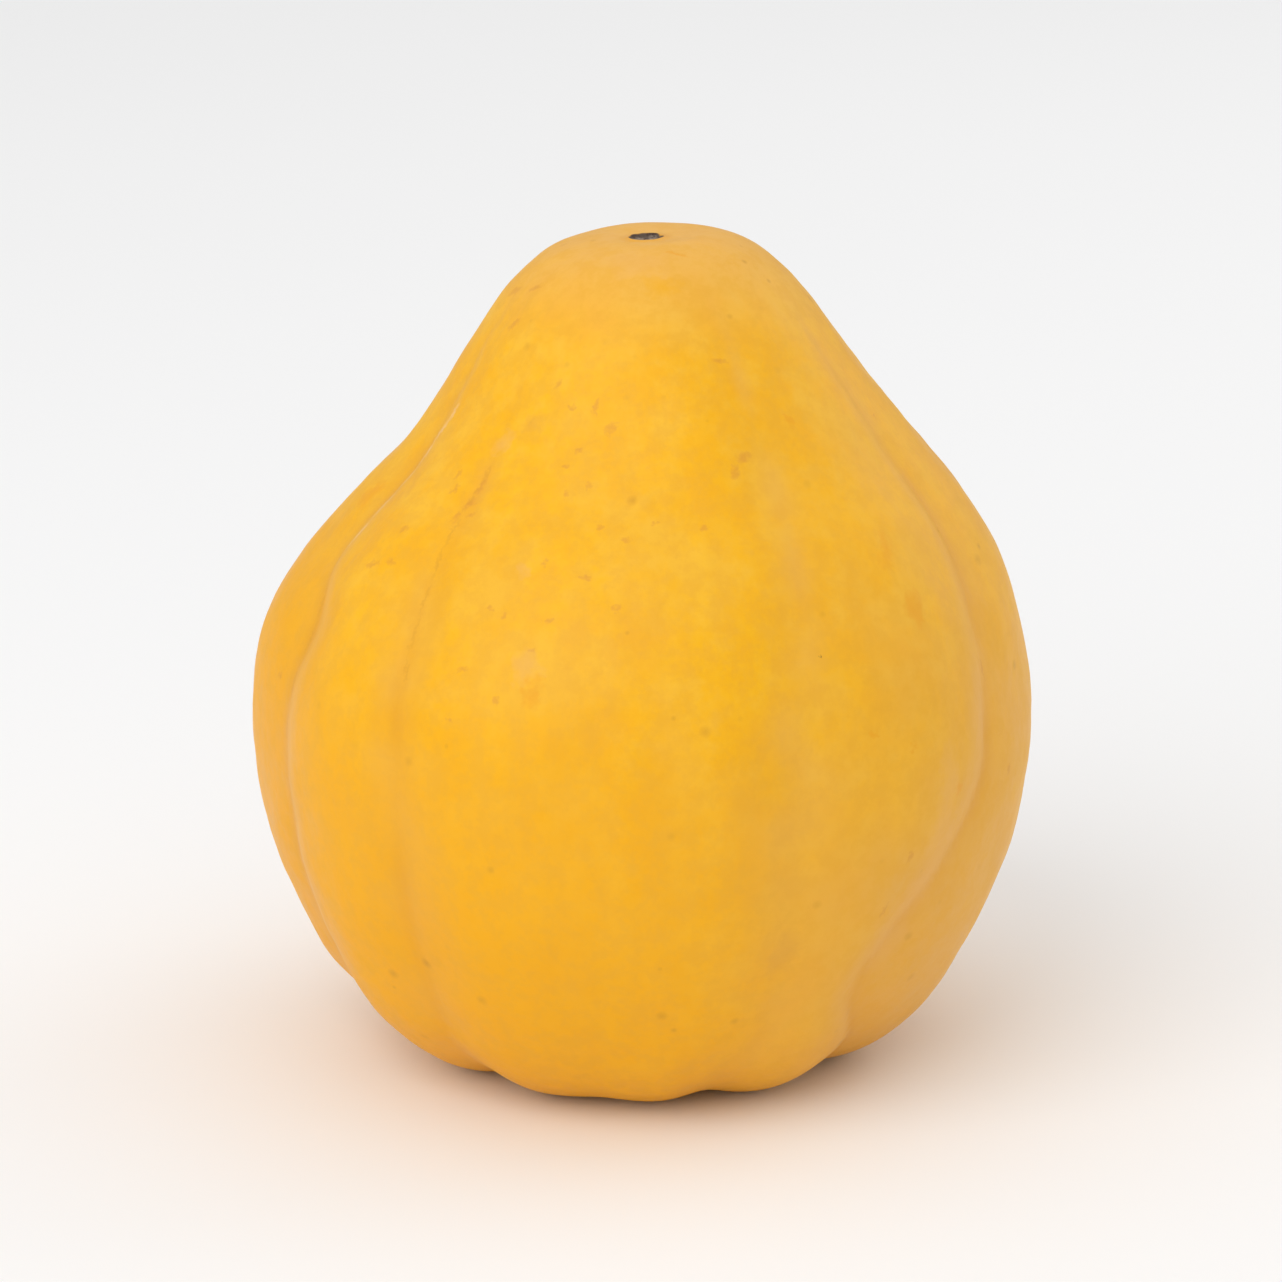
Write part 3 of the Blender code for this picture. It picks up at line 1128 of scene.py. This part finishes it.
            found = bench.add("Attribute", attribute_name=f"rib_{layer}").outputs["Fac"]
            tints.append((bench.times(found, share), tone))
        colour = self.gold
        for share, tone in tints:
            colour = bench.mix(share, colour, tone)
        return colour, bench.maths("MULTIPLY_ADD", blotches, 0.10, self.roughness - 0.05)

    def freckled(self, bench: NodeBench, place: Socket, colour: Socket) -> Socket:
        """Scatters small freckles over the rind, more in some places than in others.

        Args:
            bench: The material's bench.
            place: The point on the fruit.
            colour: The colour so far.

        Returns:
            The colour with the freckles.
        """
        crowd = bench.fade(bench.grain(place, 0.030, 1.0), 0.40, 0.62)
        cells = bench.add("TexVoronoi", {"Vector": place, "Scale": 1 / self.freckle_gap, "Randomness": 1.0})
        chance = bench.add("SeparateColor", {0: cells.outputs["Color"]})
        reach = bench.fade(chance.outputs[1], 0.0, 1.0, 0.09, 0.22)
        away = bench.maths("DIVIDE", cells.outputs["Distance"], reach)
        spot = bench.maths("SUBTRACT", 1.0, away, clamp=True)
        there = bench.maths("GREATER_THAN", chance.outputs[0], 0.45)
        mask = bench.times(bench.times(spot, there), crowd)
        return bench.mix(bench.times(mask, 0.55), colour, self.freckle)

    def marked(
        self, bench: NodeBench, place: Socket, colour: Socket, squash: WinterSquash, fruit: bpy.types.Object
    ) -> Socket:
        """Lays each of the fruit's marks on the rind, painted highlights, painted shade and a painted shadow
        among them.

        Args:
            bench: The material's bench.
            place: The point on the fruit.
            colour: The colour so far.
            squash: The fruit, with its marks.
            fruit: The finished piece.

        Returns:
            The colour with the marks.
        """
        worn = bench.stray(place, 900.0, 1.0, 0.0022, place)
        ragged = bench.stray(place, 200.0, 2.0, 0.007, worn)
        for blemish in Blemish:
            there = ragged if blemish.fray else worn
            whole = 0.0
            for mark in squash.marks:
                if mark.blemish is blemish:
                    whole = bench.maths("MAXIMUM", whole, bench.inside(there, squash.spot(fruit, mark)))
            dome = bench.times(whole, bench.maths("SUBTRACT", 2.0, whole))
            colour = bench.mix(bench.times(dome, blemish.cover), colour, blemish.colour)
        return colour

    def scarred(
        self, bench: NodeBench, place: Socket, colour: Socket, squash: WinterSquash
    ) -> tuple[Socket, Socket]:
        """Bares the rind to dry cork at the stem and to a dark scab at the blossom end.

        Args:
            bench: The material's bench.
            place: The point on the fruit.
            colour: The colour so far.
            squash: The fruit's sizes.

        Returns:
            The colour, and how dry the surface is, from 0 to 1.
        """
        discs = []
        fibres = bench.grain(place, 0.0024, 3.0, 0.7)
        wander = bench.times(bench.maths("SUBTRACT", bench.grain(place, 0.0032, 1.0), 0.5), 0.5)
        flecks = bench.fade(fibres, 0.38, 0.62)
        for middle, radius, body, dark, halo in (
            (squash.stem_scar(), squash.stem_radius, self.cork, self.crack, self.straw),
            (squash.blossom_scar(), squash.blossom_radius, self.ash, self.char, self.crease),
        ):
            given = {"Place": place, "Middle": middle, "Radius": radius, "Wander": wander}
            scar = bench.group("scar", given)
            dried = bench.mix(flecks, dark, body)
            dried = bench.mix(bench.times(scar.outputs["Rim"], 0.8), dried, dark)
            colour = bench.mix(bench.times(scar.outputs["Halo"], 0.35), colour, halo)
            colour = bench.mix(scar.outputs["Disc"], colour, dried)
            discs.append(scar.outputs["Disc"])
        return colour, bench.maths("ADD", *discs, clamp=True)


@dataclass(frozen=True)
class Paper:
    """The finish of the floor: matt white paper, a little uneven in tone.

    Attributes:
        shade: Its darkest tone.
        light: Its lightest tone.
        span: The distance over which its tone changes.
        roughness: How rough it is.
    """

    shade: Colour = (0.94, 0.94, 0.94, 1.0)
    light: Colour = (0.97, 0.97, 0.97, 1.0)
    span: float = 0.8
    roughness: float = 0.9

    def material(self) -> bpy.types.Material:
        """Builds the paper's material.

        Returns:
            The material.
        """
        made, bench, shader, place = new_finish("white paper")
        bench.fill(shader, {"Base Color": bench.mix(bench.grain(place, self.span), self.shade, self.light)})
        shader.inputs["Roughness"].default_value = self.roughness
        return made


# ---------------------------------------------------------------- the studio


@dataclass(frozen=True)
class Lamp:
    """A soft round light that faces the fruit.

    Attributes:
        name: Its name.
        place: Where it stands.
        size: How wide it is.
        power: How strong it is, in watts.
    """

    name: str
    place: tuple[float, float, float]
    size: float
    power: float


@dataclass
class Studio:
    """A pale floor, soft light from all round, and the camera.

    Attributes:
        target: What the camera looks at.
        distance: How far off the camera stands.
        elevation: How high it stands above the level, in degrees.
        lens: Its focal length, in millimetres.
        floor_size: How wide the floor is.
        horizon: The strength of the light from all round, level with the floor.
        zenith: Its strength overhead.
        lamps: A large soft key from the upper left and a weak fill.
    """

    target: Vector
    distance: float = 1.10
    elevation: float = 16.0
    lens: float = 140.0
    floor_size: float = 12
    horizon: float = 0.39
    zenith: float = 0.96
    lamps: tuple[Lamp, ...] = (
        Lamp("key", (-1.2, -1.6, 1.6), 2.4, 25.0),
        Lamp("fill", (1.7, 1.0, 0.9), 1.6, 6.0),
    )

    def build(self) -> None:
        """Lays the floor and sets up the lights and the camera."""
        self.lay_floor()
        self.light()
        self.set_camera()

    def lay_floor(self) -> None:
        """Lays a wide floor of paper."""
        deselect_all()
        bpy.ops.mesh.primitive_plane_add(size=self.floor_size, location=(0, 0, 0))
        floor = start_piece("floor", bpy.context.object)
        floor.data.materials.append(Paper().material())

    def light(self) -> None:
        """Sets an even surround, brighter overhead, and the lamps."""
        world = bpy.data.worlds.new("studio")
        bpy.context.scene.world = world
        world.use_nodes = True
        bench = NodeBench(world.node_tree)
        rise = bench.add("SeparateXYZ", {0: bench.add("TexCoord").outputs["Generated"]}).outputs["Z"]
        sky = bench.add("MapRange", {"Value": rise, "To Min": self.horizon, "To Max": self.zenith})
        background = {"Color": (1, 1, 1, 1), "Strength": sky.outputs["Result"]}
        bench.fill(world.node_tree.nodes["Background"], background)
        for lamp in self.lamps:
            light = bpy.data.lights.new(lamp.name, "AREA")
            light.shape = "DISK"
            light.size = lamp.size
            light.energy = lamp.power
            stand = bpy.data.objects.new(lamp.name, light)
            stand.location = lamp.place
            stand.rotation_euler = (Vector(lamp.place) - self.target).to_track_quat("Z", "Y").to_euler()
            bpy.context.scene.collection.objects.link(stand)

    def set_camera(self) -> None:
        """Stands the camera in front of the fruit, looking a little down on it."""
        tilt = math.radians(self.elevation)
        back = Vector((0, -math.cos(tilt), math.sin(tilt)))
        camera = bpy.data.objects.new("camera", bpy.data.cameras.new("camera"))
        camera.data.lens = self.lens
        camera.location = self.target + back * self.distance
        camera.rotation_euler = back.to_track_quat("Z", "Y").to_euler()
        bpy.context.scene.collection.objects.link(camera)
        bpy.context.scene.camera = camera
        bpy.context.scene.view_settings.view_transform = "Standard"


def main() -> None:
    """Builds the fruit and the studio in order."""
    logging.basicConfig(level=logging.INFO, format="%(name)s: %(message)s")
    squash = WinterSquash()
    fruit = squash.build()
    scar_group()
    fruit.data.materials.clear()
    fruit.data.materials.append(Rind().material(squash, fruit))
    fruit.data.calc_loop_triangles()
    log.info("%s: %d triangles", fruit.name, len(fruit.data.loop_triangles))
    low, high = CAD_BOX
    Studio(target=(low + high) / 2).build()


if __name__ == "__main__":
    main()
